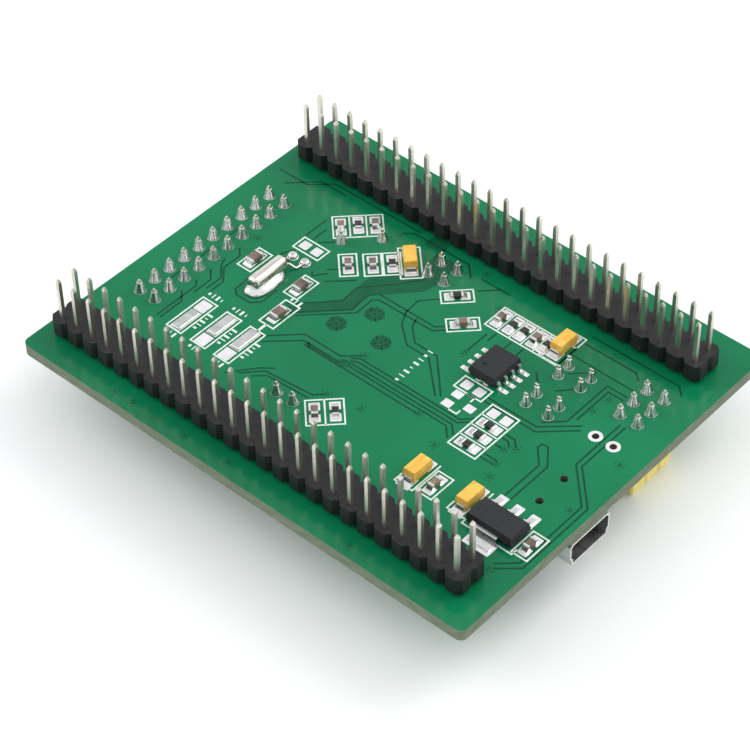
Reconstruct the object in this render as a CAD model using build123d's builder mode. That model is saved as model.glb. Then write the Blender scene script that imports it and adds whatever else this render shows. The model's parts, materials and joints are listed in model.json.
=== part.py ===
"""Microcontroller header board, standing on its component side with both pin headers pointing up.

Millimetres, +Z up. The origin is on the table, under the middle of the whole board. The upper face of
the board carries the pin headers and the small surface parts; the lower face carries the controller,
the debug socket, the USB socket, the switches and the jumpers. Places on the board are measured from
the first pin of the front header, as on a drill drawing.
"""

import math
import os

from build123d import *

# ---- driving dimensions ----
PITCH = 2.54                 # pin grid of every header
PIN = 0.5                    # square pin, across the flats
BOARD_X, BOARD_Y, BOARD_T = 68.3, 55.3, 1.6
BOARD_CORNER = 1.0
USB_OVERHANG = 0.3           # how far the USB mouth stands out of the right edge
STAND = 9.0                  # height of the debug socket, which the board stands on
FIRST_PIN_IN_X = 2.9         # first pin from the board's left edge
FIRST_PIN_IN_Y = 4.4         # first pin from the board's front edge
HEADER_PINS = 25             # pins in each row of the long headers
HEADER_SPACING = 42.7        # from the front header's first row to the back header's
HEADER_BODY = 2.3            # height of a header's plastic strip
HEADER_GAP = 0.5             # clear height under the strips of the long headers
HEADER_TIP = 8.7             # height of the pin tips above the board
STUB = 1.75                  # length of a pin past the board where it is soldered
PIN_TAPER = 0.4              # length of the taper at each end of a pin
CELL_HALF, CELL_CHAMFER = 1.1, 0.6   # a strip's outer wall from its pins, and the cut corners
SOLDER_FOOT, SOLDER_TOP, SOLDER_HEIGHT = 0.76, 0.36, 1.35
THIN_STUB, THIN_JOINT = 1.7, 1.3   # the same for flat terminals and wires, and their solder
DRILL = 0.5                  # radius of a plated hole for a square pin

DEBUG_PLACE = (1.34, 11.14)
DEBUG_PINS = 10
DEBUG_SHROUD_X, DEBUG_SHROUD_Y = 8.9, 33.3
DEBUG_WALL, DEBUG_FLOOR = 1.15, 2.5
DEBUG_KEY = 4.5

JUMPER_PLACE = (58.25, 32.25)
CAP_X, CAP_Y, CAP_Z = 4.4, 2.44, 6.0
CAP_WALL = 0.45
BOOT_PLACE = (25.9, 36.1)    # two by two pins
LINK_PLACE = (25.8, 9.2)     # one by two pins
SMALL_HEADER_DROP = 7.6      # how far the small headers' pins reach below the board

SWITCH_PLACE = (50.55, 30.6)
SWITCH_X, SWITCH_Y, SWITCH_Z = 6.0, 13.0, 4.6
SWITCH_SHEET = 0.4
SWITCH_TRAVEL = 2.0          # each way from the middle of three positions
SWITCH_ROWS = (-1.65, 1.65)
SWITCH_TERMINALS = (-4.0, -2.0, 2.0, 4.0)
KNOB_X, KNOB_Y, KNOB_Z = 2.0, 2.4, 2.6

BUTTON_PLACE = (38.0, 11.0)
BUTTON_SIDE, BUTTON_BASE, BUTTON_SHEET = 6.0, 2.8, 0.3
PLUNGER_RADIUS, PLUNGER_STANDS = 1.75, 0.9

USB_PLACE_Y = 17.4
USB_WIDTH, USB_HEIGHT, USB_DEPTH, USB_SHEET = 7.1, 3.4, 9.0, 0.25
USB_NECK, USB_CUT, USB_CORNER = 2.2, 0.35, 0.35   # height of the side walls, and the two cuts beyond them
USB_PEG_X, USB_PEG_Y, USB_PEG_SPACING, USB_PEG = 59.65, 18.0, 4.4, 0.42
USB_BLOCK = 3.6              # thickness of the plastic behind the tongue

CONTROLLER_PLACE = (27.0, 23.0)
CONTROLLER_SIDE, CONTROLLER_HEIGHT = 14.0, 1.4
CONTROLLER_LEADS, CONTROLLER_PITCH = 25, 0.5

MEMORY_PLACE = (42.8, 28.4)
REGULATOR_PLACE = (58.7, 9.7)
WATCH_PLACE, WATCH_TURN = (11.70, 22.62), 1
WATCH_RADIUS, WATCH_LENGTH = 1.0, 5.6
WATCH_WIRE = 0.15
CRYSTAL_PLACE = (15.7, 35.4)
CRYSTAL_X, CRYSTAL_Y, CRYSTAL_Z = 11.2, 4.6, 3.5
CRYSTAL_SPACING, WIRE_RADIUS = 5.08, 0.22
SPARE_PLACE = (58.26, 27.7)  # two plated holes that hold nothing

SMALL_CHIP, LARGE_CHIP = (1.6, 0.8), (2.0, 1.2)   # length and width
CHIP_END = 0.32
CAPACITOR_HEIGHT, RESISTOR_HEIGHT = 0.8, 0.45
TANTALUM_X, TANTALUM_Y, TANTALUM_Z = 3.2, 1.75, 1.6

# Places of the small parts: x and y from the first pin, and the angle of the long axis.
LARGE_CAPACITORS_ABOVE = [(8.1, 24.2, 90), (15.8, 24.2, 90), (17.05, 18.9, 90)]
CAPACITORS_ABOVE = [
    (12.1, 35.5, -45), (15.1, 38.6, -45), (17.45, 30.9, -45), (19.7, 32.9, -45), (31.4, 9.6, -45),
    (34.9, 32.0, 45), (37.75, 35.7, 90), (43.2, 35.7, 90), (49.3, 10.0, 90), (63.1, 9.9, 90),
]
RESISTORS_ABOVE = [
    (13.5, 37.2, -45), (21.4, 34.6, -45), (33.1, 11.3, -45), (31.2, 35.3, 45), (39.6, 35.7, 90),
    (41.3, 35.7, 90), (44.8, 35.7, 90), (48.1, 21.0, 0), (48.1, 19.05, 0), (48.1, 17.1, 0),
]
TANTALUMS = [(22.9, 36.2, -45), (46.4, 36.8, 90), (46.6, 10.2, 90), (53.8, 10.8, 90)]
CAPACITORS_BELOW = [
    (34.2, 30.2, 135), (19.8, 30.2, 225), (19.8, 15.8, 315), (34.2, 15.8, 45),
    (10.6, 12.5, 90), (13.2, 12.5, 90), (54.5, 9.0, 0), (54.5, 12.0, 0),
]
RESISTORS_BELOW = [
    (40.5, 28.5, 90), (42.1, 28.5, 90), (43.7, 28.5, 90), (45.3, 28.5, 90),
    (46.5, 19.0, 90), (48.1, 19.0, 90), (49.7, 19.0, 90), (51.3, 19.0, 90),
]
LEDS_BELOW = [(40.5, 38.8, 90), (44.5, 38.8, 90)]
SOLDER_JUMPERS = [(9.2, 11.0), (13.2, 13.1), (17.0, 13.1)]   # middles of the bridged pads
BRIDGE_X, BRIDGE_Y, BRIDGE_Z = 1.5, 3.8, 0.3

# ---- worked-out levels and places ----
UNDER = STAND                # lower face of the board
FACE = STAND + BOARD_T       # upper face of the board
BOARD_MIDDLE_X = -USB_OVERHANG / 2
PIN_X = BOARD_MIDDLE_X - BOARD_X / 2 + FIRST_PIN_IN_X
PIN_Y = -BOARD_Y / 2 + FIRST_PIN_IN_Y


def above(x, y, angle=0.0):
    """A place on the upper face, with its own +Z pointing up."""
    turn = math.radians(angle)
    origin = (PIN_X + x, PIN_Y + y, FACE)
    return Plane(origin=origin, x_dir=(math.cos(turn), math.sin(turn), 0), z_dir=(0, 0, 1)).location


def below(x, y, angle=0.0):
    """A place on the lower face, with its own +Z pointing down, away from the board."""
    turn = math.radians(angle)
    origin = (PIN_X + x, PIN_Y + y, UNDER)
    return Plane(origin=origin, x_dir=(math.cos(turn), math.sin(turn), 0), z_dir=(0, 0, -1)).location


def grid(x, y, columns, rows, pitch_x=PITCH, pitch_y=PITCH):
    """Points of a pin grid whose first pin is at x, y."""
    return [(x + i * pitch_x, y + j * pitch_y) for i in range(columns) for j in range(rows)]


def copies(piece, places):
    """The same piece at every place, as separate solids of one sub-part."""
    with BuildPart() as group:
        with Locations(*places):
            add(piece.part)
    return group


def save(builder, name):
    """Labels a finished sub-part and writes it."""
    builder.part.label = name
    export_step(builder.part, f"parts/{name}.step")


# ---- shapes that repeat ----
def square_pin(low, high):
    """A square pin from low to high, tapered at both ends."""
    with BuildPart() as pin:
        with BuildSketch(Plane.XY.offset(low + PIN_TAPER)):
            Rectangle(PIN, PIN)
        extrude(amount=high - low - 2 * PIN_TAPER)
        for level, end in ((high - PIN_TAPER, high), (low + PIN_TAPER, low)):
            with BuildSketch(Plane.XY.offset(level)):
                Rectangle(PIN, PIN)
            with BuildSketch(Plane.XY.offset(end)):
                Rectangle(PIN / 2, PIN / 2)
            loft()
    return pin


def solder_cone():
    """A pointed solder fillet round a square pin, with the pin's own space left open."""
    with BuildPart() as cone:
        with BuildSketch(Plane.XZ):
            with BuildLine():
                Polyline((0, SOLDER_HEIGHT), (0, 0), (SOLDER_FOOT, 0), (SOLDER_FOOT, 0.08))
                waist = (SOLDER_TOP + 0.5 * (SOLDER_FOOT - SOLDER_TOP), 0.5 * SOLDER_HEIGHT)
                ThreePointArc((SOLDER_FOOT, 0.08), waist, (SOLDER_TOP, SOLDER_HEIGHT))
                Line((SOLDER_TOP, SOLDER_HEIGHT), (0, SOLDER_HEIGHT))
            make_face()
        revolve(axis=Axis.Z)
        with BuildSketch(Plane.XY):
            Rectangle(PIN, PIN)
        extrude(amount=SOLDER_HEIGHT, mode=Mode.SUBTRACT)
    return cone


def notched_outline(columns, rows):
    """Outline of a pin strip whose cells have cut corners, round a first pin at the origin."""
    half, wall, cut = PITCH / 2, CELL_HALF, CELL_CHAMFER
    right, far = (columns - 1) * PITCH, (rows - 1) * PITCH
    near_side = [
        (i * PITCH + step, level)
        for i in range(columns)
        for step, level in ((-half, cut - wall), (cut - half, -wall), (half - cut, -wall))
    ]
    right_side = [
        (right + level, j * PITCH + step)
        for j in range(1, rows)
        for step, level in ((-half - cut, half), (-half, half - cut / 2), (cut - half, half))
    ]
    far_side = [
        (i * PITCH + step, far + level)
        for i in reversed(range(columns))
        for step, level in ((half, wall - cut), (half - cut, wall), (cut - half, wall))
    ]
    left_side = [
        (-level, j * PITCH + step)
        for j in reversed(range(1, rows))
        for step, level in ((cut - half, half), (-half, half - cut / 2), (-half - cut, half))
    ]
    corners = [(right + half, cut - wall)], [(-half, far + wall - cut)]
    return near_side + corners[0] + right_side + far_side + corners[1] + left_side


def pin_strip(columns, rows, height=HEADER_BODY):
    """The plastic strip of a pin header, with a square hole for each pin."""
    with BuildPart() as strip:
        with BuildSketch(Plane.XY):
            with BuildLine():
                Polyline(*notched_outline(columns, rows), close=True)
            make_face()
            with Locations(*grid(0, 0, columns, rows)):
                Rectangle(PIN, PIN, mode=Mode.SUBTRACT)
        extrude(amount=height)
    return strip


def gull_lead(reach, height, width, foot=0.6, sheet=0.2):
    """One bent lead that leaves a chip's side at height and stands on the board reach away."""
    shoulder = (reach - foot) * 0.55
    upper_side = [(0, height), (shoulder, height), (reach - foot, sheet), (reach, sheet)]
    under, inner = height - sheet, sheet / 2
    lower_side = [(reach, 0), (reach - foot - inner, 0), (shoulder - inner, under), (0, under)]
    with BuildPart() as lead:
        with BuildSketch(Plane.XZ):
            with BuildLine():
                Polyline(*upper_side, *lower_side, close=True)
            make_face()
        extrude(amount=width / 2, both=True)
    return lead


def chip_body(size_x, size_y, bottom, top, draft=0.12, dot=0.0):
    """A moulded chip body with sides that slope in above and below its parting line."""
    middle = (bottom + top) / 2
    with BuildPart() as body:
        for level in (top, bottom):
            with BuildSketch(Plane.XY.offset(middle)):
                Rectangle(size_x, size_y)
            with BuildSketch(Plane.XY.offset(level)):
                Rectangle(size_x - 2 * draft, size_y - 2 * draft)
            loft()
        if dot:
            corner = (-size_x / 2 + 2.2 * dot, -size_y / 2 + 2.2 * dot)
            with BuildSketch(Plane.XY.offset(top)):
                with Locations(corner):
                    Circle(dot / 2)
            extrude(amount=-0.08, mode=Mode.SUBTRACT)
    return body


def chip_middle(size, height):
    """The ceramic of a two-ended chip part, between its metal ends."""
    length, width = size
    with BuildPart() as middle:
        Box(length - 2 * CHIP_END, width, height - 0.04, align=(Align.CENTER, Align.CENTER, Align.MIN))
    return middle


def chip_ends(size, height):
    """The two metal ends of a chip part, a little larger than the ceramic."""
    length, width = size
    reach = (length - CHIP_END) / 2
    with BuildPart() as ends:
        with Locations((reach, 0, 0), (-reach, 0, 0)):
            Box(CHIP_END, width + 0.04, height, align=(Align.CENTER, Align.CENTER, Align.MIN))
        outer = ends.edges().filter_by(Axis.Y).group_by(Axis.Z)[-1]
        fillet(outer, 0.08)
    return ends


# ---- the board ----
front_pins = grid(0, 0, HEADER_PINS, 2)
back_pins = grid(0, HEADER_SPACING, HEADER_PINS, 2)
debug_pins = grid(*DEBUG_PLACE, 2, DEBUG_PINS)
jumper_pins = grid(*JUMPER_PLACE, 2, 3)
small_header_pins = grid(*BOOT_PLACE, 2, 2) + grid(*LINK_PLACE, 2, 1)
spare_holes = grid(*SPARE_PLACE, 2, 1)
switch_pins = [(SWITCH_PLACE[0] + x, SWITCH_PLACE[1] + y) for x in SWITCH_ROWS for y in SWITCH_TERMINALS]
usb_pegs = [(USB_PEG_X, USB_PEG_Y + side * USB_PEG_SPACING / 2) for side in (-1, 1)]
crystal_reach = CRYSTAL_SPACING / 2 * math.cos(math.radians(45))
crystal_pins = [(CRYSTAL_PLACE[0] + s * crystal_reach, CRYSTAL_PLACE[1] + s * crystal_reach) for s in (-1, 1)]


def make_pcb():
    """The laminate with every plated and bare hole."""
    pin_holes = front_pins + back_pins + debug_pins + jumper_pins + small_header_pins + spare_holes + usb_pegs
    first_pin = Plane((PIN_X, PIN_Y, UNDER))
    with BuildPart() as pcb:
        with BuildSketch(Plane((BOARD_MIDDLE_X, 0, UNDER))):
            RectangleRounded(BOARD_X, BOARD_Y, BOARD_CORNER)
        extrude(amount=BOARD_T)
        with BuildSketch(first_pin):
            with Locations(*pin_holes):
                Circle(DRILL)
            with Locations(*switch_pins, *crystal_pins):
                Circle(DRILL - 0.1)
        extrude(amount=BOARD_T, mode=Mode.SUBTRACT)
    save(pcb, "pcb")


def make_long_headers():
    """Two double rows of pins on the upper face, soldered underneath."""
    strip = pin_strip(HEADER_PINS, 2)
    pin = square_pin(-BOARD_T - STUB, HEADER_TIP)
    joint = solder_cone()
    for name, points in (("front", front_pins), ("back", back_pins)):
        lifted = above(*points[0]) * Location((0, 0, HEADER_GAP))
        save(copies(strip, [lifted]), f"{name}_header_strip")
        save(copies(pin, [above(*point) for point in points]), f"{name}_header_pins")
        save(copies(joint, [below(*point) for point in points]), f"{name}_header_solder")


# ---- the debug socket ----
def make_debug_socket():
    """A keyed box header on the lower face, soldered on the upper face."""
    middle = (DEBUG_PLACE[0] + PITCH / 2, DEBUG_PLACE[1] + (DEBUG_PINS - 1) * PITCH / 2)
    with BuildPart() as shroud:
        with BuildSketch(Plane.XY):
            Rectangle(DEBUG_SHROUD_X, DEBUG_SHROUD_Y)
        extrude(amount=STAND)
        with BuildSketch(Plane.XY.offset(DEBUG_FLOOR)):
            Rectangle(DEBUG_SHROUD_X - 2 * DEBUG_WALL, DEBUG_SHROUD_Y - 2 * DEBUG_WALL)
        extrude(amount=STAND - DEBUG_FLOOR, mode=Mode.SUBTRACT)
        with BuildSketch(Plane.XY.offset(DEBUG_FLOOR + 0.5)):
            with Locations((DEBUG_SHROUD_X / 2, 0)):
                Rectangle(3 * DEBUG_WALL, DEBUG_KEY)
        extrude(amount=STAND, mode=Mode.SUBTRACT)
        with BuildSketch(Plane.XY):
            with GridLocations(PITCH, PITCH, 2, DEBUG_PINS):
                Rectangle(PIN, PIN)
        extrude(amount=DEBUG_FLOOR, mode=Mode.SUBTRACT)
        chamfer(shroud.edges().filter_by(Axis.Z).filter_by_position(
            Axis.Y, -DEBUG_SHROUD_Y / 2 - 0.1, -DEBUG_SHROUD_Y / 2 + 0.1), 0.5)
        chamfer(shroud.edges().filter_by(Axis.Z).filter_by_position(
            Axis.Y, DEBUG_SHROUD_Y / 2 - 0.1, DEBUG_SHROUD_Y / 2 + 0.1), 0.5)
    save(copies(shroud, [below(*middle)]), "debug_socket_shroud")
    pin = square_pin(-BOARD_T - STUB, STAND - 1.0)
    save(copies(pin, [below(*point) for point in debug_pins]), "debug_socket_pins")
    save(copies(solder_cone(), [above(*point) for point in debug_pins]), "debug_socket_solder")


# ---- jumpers and small headers ----
def make_jumpers():
    """A two by three header on the lower face with three pull-off caps, and two shorter headers."""
    pin = square_pin(-BOARD_T - STUB, SMALL_HEADER_DROP)
    last_row = below(JUMPER_PLACE[0], JUMPER_PLACE[1] + 2 * PITCH)
    save(copies(pin_strip(2, 3), [last_row]), "jumper_header_strip")
    save(copies(pin, [below(*point) for point in jumper_pins]), "jumper_header_pins")
    save(copies(solder_cone(), [above(*point) for point in jumper_pins]), "jumper_header_solder")

    with BuildPart() as small_strips:
        with Locations(below(BOOT_PLACE[0], BOOT_PLACE[1] + PITCH)):
            add(pin_strip(2, 2).part)
        with Locations(below(*LINK_PLACE)):
            add(pin_strip(2, 1).part)
    save(small_strips, "small_header_strips")
    save(copies(pin, [below(*point) for point in small_header_pins]), "small_header_pins")
    save(copies(solder_cone(), [above(*point) for point in small_header_pins]), "small_header_solder")

    hollow_x, hollow_y = CAP_X - 2 * CAP_WALL, CAP_Y - 2 * CAP_WALL
    hollow_z = CAP_Z - CAP_WALL
    with BuildPart() as cap:
        Box(CAP_X, CAP_Y, CAP_Z, align=(Align.CENTER, Align.CENTER, Align.MIN))
        chamfer(cap.edges().group_by(Axis.Z)[0], 0.35)
        chamfer(cap.edges().filter_by(Axis.Z), 0.2)
        with BuildSketch(Plane.XY.offset(CAP_WALL)):
            Rectangle(hollow_x, hollow_y)
        extrude(amount=hollow_z, mode=Mode.SUBTRACT)
    leaf = 0.3
    with BuildPart() as clip:
        with BuildSketch(Plane.XY.offset(CAP_WALL)):
            with Locations((0, (hollow_y - leaf) / 2), (0, -(hollow_y - leaf) / 2)):
                Rectangle(hollow_x, leaf)
        extrude(amount=hollow_z - 0.8)
        with BuildSketch(Plane.XY.offset(CAP_WALL)):
            Rectangle(0.5, hollow_y)
        extrude(amount=leaf)
    for row in range(3):
        spot = (PIN_X + JUMPER_PLACE[0] + PITCH / 2, PIN_Y + JUMPER_PLACE[1] + row * PITCH, 0)
        save(copies(cap, [Location(spot)]), f"jumper_cap_{row + 1}")
        save(copies(clip, [Location(spot)]), f"jumper_clip_{row + 1}")


# ---- the power switch ----
def make_switch():
    """A three-position slide switch: sheet frame, insulating base, knob and eight terminals."""
    place = below(*SWITCH_PLACE)
    base_height = 1.3
    slot_y = KNOB_Y + 2 * SWITCH_TRAVEL + 0.6
    inner_x, inner_y = SWITCH_X - 2 * SWITCH_SHEET, SWITCH_Y - 2 * SWITCH_SHEET
    with BuildPart() as frame:
        Box(SWITCH_X, SWITCH_Y, SWITCH_Z, align=(Align.CENTER, Align.CENTER, Align.MIN))
        fillet(frame.edges().group_by(Axis.Z)[-1], 0.3)
        with BuildSketch(Plane.XY):
            Rectangle(inner_x, inner_y)
        extrude(amount=SWITCH_Z - SWITCH_SHEET, mode=Mode.SUBTRACT)
        with BuildSketch(Plane.XY.offset(SWITCH_Z)):
            Rectangle(KNOB_X + 0.4, slot_y)
        extrude(amount=-SWITCH_SHEET, mode=Mode.SUBTRACT)
    save(copies(frame, [place]), "slide_switch_frame")

    terminals = [(x, y) for x in SWITCH_ROWS for y in SWITCH_TERMINALS]
    with BuildPart() as base:
        with BuildSketch(Plane.XY):
            Rectangle(inner_x, inner_y)
            with Locations(*terminals):
                Rectangle(0.5, 0.3, mode=Mode.SUBTRACT)
        extrude(amount=base_height)
    save(copies(base, [place]), "slide_switch_base")

    with BuildPart() as terminal:
        Box(0.5, 0.3, BOARD_T + THIN_STUB + base_height, align=(Align.CENTER, Align.CENTER, Align.MAX))
    tops = [below(*point) * Location((0, 0, base_height)) for point in switch_pins]
    save(copies(terminal, tops), "slide_switch_terminals")
    with BuildPart() as joint:
        Cone(0.68, 0.31, THIN_JOINT, align=(Align.CENTER, Align.CENTER, Align.MIN))
        with BuildSketch(Plane.XY):
            Rectangle(0.5, 0.3)
        extrude(amount=THIN_JOINT, mode=Mode.SUBTRACT)
    save(copies(joint, [above(*point) for point in switch_pins]), "slide_switch_solder")

    carrier_y = KNOB_Y + 3.4
    with BuildPart() as knob:
        with BuildSketch(Plane.XY.offset(base_height + 0.2)):
            Rectangle(inner_x - 0.4, carrier_y)
        extrude(amount=SWITCH_Z - SWITCH_SHEET - base_height - 0.5)
        with BuildSketch(Plane.XY.offset(base_height + 0.2)):
            Rectangle(KNOB_X, KNOB_Y)
        extrude(amount=SWITCH_Z - base_height - 0.2 + KNOB_Z)
        chamfer(knob.edges().group_by(Axis.Z)[-1], 0.25)
    save(copies(knob, [place]), "slide_switch_knob")


# ---- the reset button ----
def make_button():
    """A small push button: moulded base, sheet cover with ears and a round plunger."""
    place = below(*BUTTON_PLACE)
    well = PLUNGER_RADIUS + 0.55
    flange = PLUNGER_RADIUS + 0.35
    with BuildPart() as base:
        Box(BUTTON_SIDE, BUTTON_SIDE, BUTTON_BASE, align=(Align.CENTER, Align.CENTER, Align.MIN))
        chamfer(base.edges().filter_by(Axis.Z), 0.5)
        with BuildSketch(Plane.XY.offset(1.2)):
            Circle(well)
        extrude(amount=BUTTON_BASE, mode=Mode.SUBTRACT)
    save(copies(base, [place]), "reset_button_base")
    with BuildPart() as cover:
        with BuildSketch(Plane.XY.offset(BUTTON_BASE)):
            RectangleRounded(BUTTON_SIDE, BUTTON_SIDE, 0.5)
            Circle(PLUNGER_RADIUS + 0.12, mode=Mode.SUBTRACT)
        extrude(amount=BUTTON_SHEET)
    save(copies(cover, [place]), "reset_button_cover")
    with BuildPart() as plunger:
        with BuildSketch(Plane.XY.offset(1.7)):
            Circle(flange)
        extrude(amount=BUTTON_BASE - 1.7 - 0.02)
        with BuildSketch(Plane.XY.offset(1.7)):
            Circle(PLUNGER_RADIUS)
        extrude(amount=BUTTON_BASE + BUTTON_SHEET - 1.7 + PLUNGER_STANDS)
        fillet(plunger.edges().group_by(Axis.Z)[-1], 0.2)
    save(copies(plunger, [place]), "reset_button_plunger")
    with BuildPart() as leg:
        Box(1.4, 0.7, 0.25, align=(Align.MIN, Align.CENTER, Align.MIN))
    legs = [
        place * Location((side * BUTTON_SIDE / 2, row, 0), (0, 0, 0 if side > 0 else 180))
        for side in (-1, 1)
        for row in (-2.25, 2.25)
    ]
    save(copies(leg, legs), "reset_button_legs")


# ---- the USB socket ----
def usb_section(inset):
    """Outline of the USB shell across its mouth: straight sides by the board, cut corners below."""
    half, far = USB_WIDTH / 2 - inset, USB_HEIGHT - inset
    rim, narrow = half - USB_CORNER, half - USB_CUT
    near = inset + USB_CORNER
    right = [(rim, inset), (half, near), (half, USB_NECK), (narrow, USB_NECK + USB_CUT), (narrow, far)]
    return right + [(-x, z) for x, z in reversed(right)]


def make_usb():
    """A five-contact USB socket on the lower face, with its mouth past the right edge."""
    mouth_x = BOARD_X - FIRST_PIN_IN_X + USB_OVERHANG
    place = below(mouth_x, USB_PLACE_Y)
    across = Plane(origin=(0, 0, 0), x_dir=(0, -1, 0), z_dir=(-1, 0, 0))
    peg_middle = USB_PLACE_Y - USB_PEG_Y
    pegs = [(USB_PEG_X - mouth_x, peg_middle + side * USB_PEG_SPACING / 2) for side in (-1, 1)]
    foot_x = (-2.6, -7.4)
    foot_y = USB_WIDTH / 2 + 0.3
    with BuildPart() as shell:
        with BuildSketch(across):
            with BuildLine():
                Polyline(*usb_section(0), close=True)
            make_face()
        extrude(amount=USB_DEPTH)
        with BuildSketch(across):
            with BuildLine():
                Polyline(*usb_section(USB_SHEET), close=True)
            make_face()
        extrude(amount=USB_DEPTH, mode=Mode.SUBTRACT)
        with BuildSketch(Plane.XY):
            with Locations(*[(x, side * foot_y) for x in foot_x for side in (-1, 1)]):
                Rectangle(1.8, 1.2)
        extrude(amount=USB_SHEET)
        with BuildSketch(Plane.XY):
            with Locations(*pegs):
                Circle(USB_PEG + 0.2)
        extrude(amount=USB_SHEET, mode=Mode.SUBTRACT)
    save(copies(shell, [place]), "usb_shell")

    with BuildPart() as insulator:
        with BuildSketch(across.offset(USB_DEPTH - USB_BLOCK)):
            with BuildLine():
                Polyline(*usb_section(USB_SHEET), close=True)
            make_face()
        extrude(amount=USB_BLOCK)
        with BuildSketch(across.offset(1.6)):
            with Locations((0, 1.6)):
                Rectangle(4.4, 0.9)
        extrude(amount=USB_DEPTH - 1.6 - USB_BLOCK)
        with BuildSketch(Plane.XY.offset(USB_SHEET)):
            with Locations(*pegs):
                Circle(USB_PEG)
        extrude(amount=-USB_SHEET - 0.9)
    save(copies(insulator, [place]), "usb_insulator")

    contact_rows = [0.8 * i for i in range(-2, 3)]
    with BuildPart() as contacts:
        with Locations(*[(-1.8, y, 2.05) for y in contact_rows]):
            Box(3.6, 0.36, 0.12, align=(Align.MAX, Align.CENTER, Align.MIN))
        with Locations(*[(-USB_DEPTH, y, 0) for y in contact_rows]):
            Box(1.4, 0.36, 0.2, align=(Align.MAX, Align.CENTER, Align.MIN))
    save(copies(contacts, [place]), "usb_contacts")


# ---- chips ----
def make_chips():
    """The controller below, and the memory chip and regulator above."""
    controller = below(*CONTROLLER_PLACE, 45)
    body = chip_body(CONTROLLER_SIDE, CONTROLLER_SIDE, 0.1, 0.1 + CONTROLLER_HEIGHT, dot=0.9)
    save(copies(body, [controller]), "controller_body")
    lead = gull_lead(1.0, 0.85, 0.22, foot=0.5, sheet=0.14)
    span = (CONTROLLER_LEADS - 1) / 2
    leads = [
        controller * Location((0, 0, 0), (0, 0, quarter * 90)) * Location((CONTROLLER_SIDE / 2, step, 0))
        for quarter in range(4)
        for step in [(i - span) * CONTROLLER_PITCH for i in range(CONTROLLER_LEADS)]
    ]
    save(copies(lead, leads), "controller_leads")

    memory = above(*MEMORY_PLACE)
    save(copies(chip_body(3.9, 4.9, 0.15, 1.55, dot=0.6), [memory]), "memory_chip_body")
    lead = gull_lead(1.05, 0.95, 0.42)
    leads = [
        memory * Location((0, 0, 0), (0, 0, turn)) * Location((1.95, row * 1.27, 0))
        for turn in (0, 180)
        for row in (-1.5, -0.5, 0.5, 1.5)
    ]
    save(copies(lead, leads), "memory_chip_leads")

    regulator = above(*REGULATOR_PLACE)
    save(copies(chip_body(6.5, 3.5, 0.05, 1.65, draft=0.2), [regulator]), "regulator_body")
    narrow = gull_lead(1.75, 1.0, 0.72, foot=0.9, sheet=0.26)
    wide = gull_lead(1.75, 1.0, 3.0, foot=0.9, sheet=0.26)
    with BuildPart() as leads:
        for x in (-2.3, 0, 2.3):
            with Locations(regulator * Location((x, 1.75, 0), (0, 0, 90))):
                add(narrow.part)
        with Locations(regulator * Location((0, -1.75, 0), (0, 0, -90))):
            add(wide.part)
    save(leads, "regulator_leads")


# ---- crystals ----
def make_watch_crystal():
    """A small can that lies on the upper face, with two bent wires to its pads."""
    place = above(*WATCH_PLACE, WATCH_TURN)
    level = WATCH_RADIUS + 0.02
    rear = WATCH_LENGTH / 2
    lying = Plane(origin=(0, -rear, level), x_dir=(1, 0, 0), z_dir=(0, 1, 0))
    with BuildPart() as can:
        with BuildSketch(lying):
            Circle(WATCH_RADIUS)
        extrude(amount=WATCH_LENGTH)
        fillet(can.edges().group_by(Axis.Y)[0], 0.5)
        fillet(can.edges().group_by(Axis.Y)[-1], 0.25)
    save(copies(can, [place]), "watch_crystal_can")

    low = WATCH_WIRE + 0.02
    routes = (
        ((-0.3, rear, level), (-0.32, rear + 0.5, level), (-0.35, rear + 1.4, low), (-0.36, rear + 2.5, low)),
        ((0.4, rear, level), (0.75, rear + 0.5, 0.6), (1.5, rear + 0.75, low), (1.65, rear + 2.5, low)),
    )
    with BuildPart() as wires:
        for points in routes:
            with BuildLine() as route:
                FilletPolyline(*points, radius=0.35)
            with BuildSketch(Plane(origin=route.line @ 0, z_dir=route.line % 0)):
                Circle(WATCH_WIRE)
            sweep(path=route.line)
    save(copies(wires, [place]), "watch_crystal_wires")
    with BuildPart() as blobs:
        with Locations((-0.35, rear + 2.24), (1.62, rear + 2.25)):
            Cylinder(0.66, 0.6, align=(Align.CENTER, Align.CENTER, Align.MIN))
        fillet(blobs.edges().group_by(Axis.Z)[-1], 0.45)
        add(wires.part, mode=Mode.SUBTRACT)
    save(copies(blobs, [place]), "watch_crystal_solder")


def make_main_crystal():
    """A flat oval can on the lower face, at 45 degrees, soldered on the upper face."""
    place = below(*CRYSTAL_PLACE, 45)
    with BuildPart() as base:
        with BuildSketch(Plane.XY):
            SlotOverall(CRYSTAL_X, CRYSTAL_Y)
        extrude(amount=0.5)
    save(copies(base, [place]), "main_crystal_base")
    with BuildPart() as can:
        with BuildSketch(Plane.XY.offset(0.5)):
            SlotOverall(CRYSTAL_X - 0.8, CRYSTAL_Y - 0.8)
        extrude(amount=CRYSTAL_Z - 0.5)
        fillet(can.edges().group_by(Axis.Z)[-1], 0.4)
    save(copies(can, [place]), "main_crystal_can")
    with BuildPart() as wire:
        Cylinder(WIRE_RADIUS, BOARD_T + THIN_STUB, align=(Align.CENTER, Align.CENTER, Align.MAX))
    save(copies(wire, [below(*point) for point in crystal_pins]), "main_crystal_wires")
    with BuildPart() as joint:
        Cone(0.76, 0.3, THIN_JOINT, align=(Align.CENTER, Align.CENTER, Align.MIN))
        with BuildSketch(Plane.XY):
            Circle(WIRE_RADIUS)
        extrude(amount=THIN_JOINT, mode=Mode.SUBTRACT)
    save(copies(joint, [above(*point) for point in crystal_pins]), "main_crystal_solder")


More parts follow.
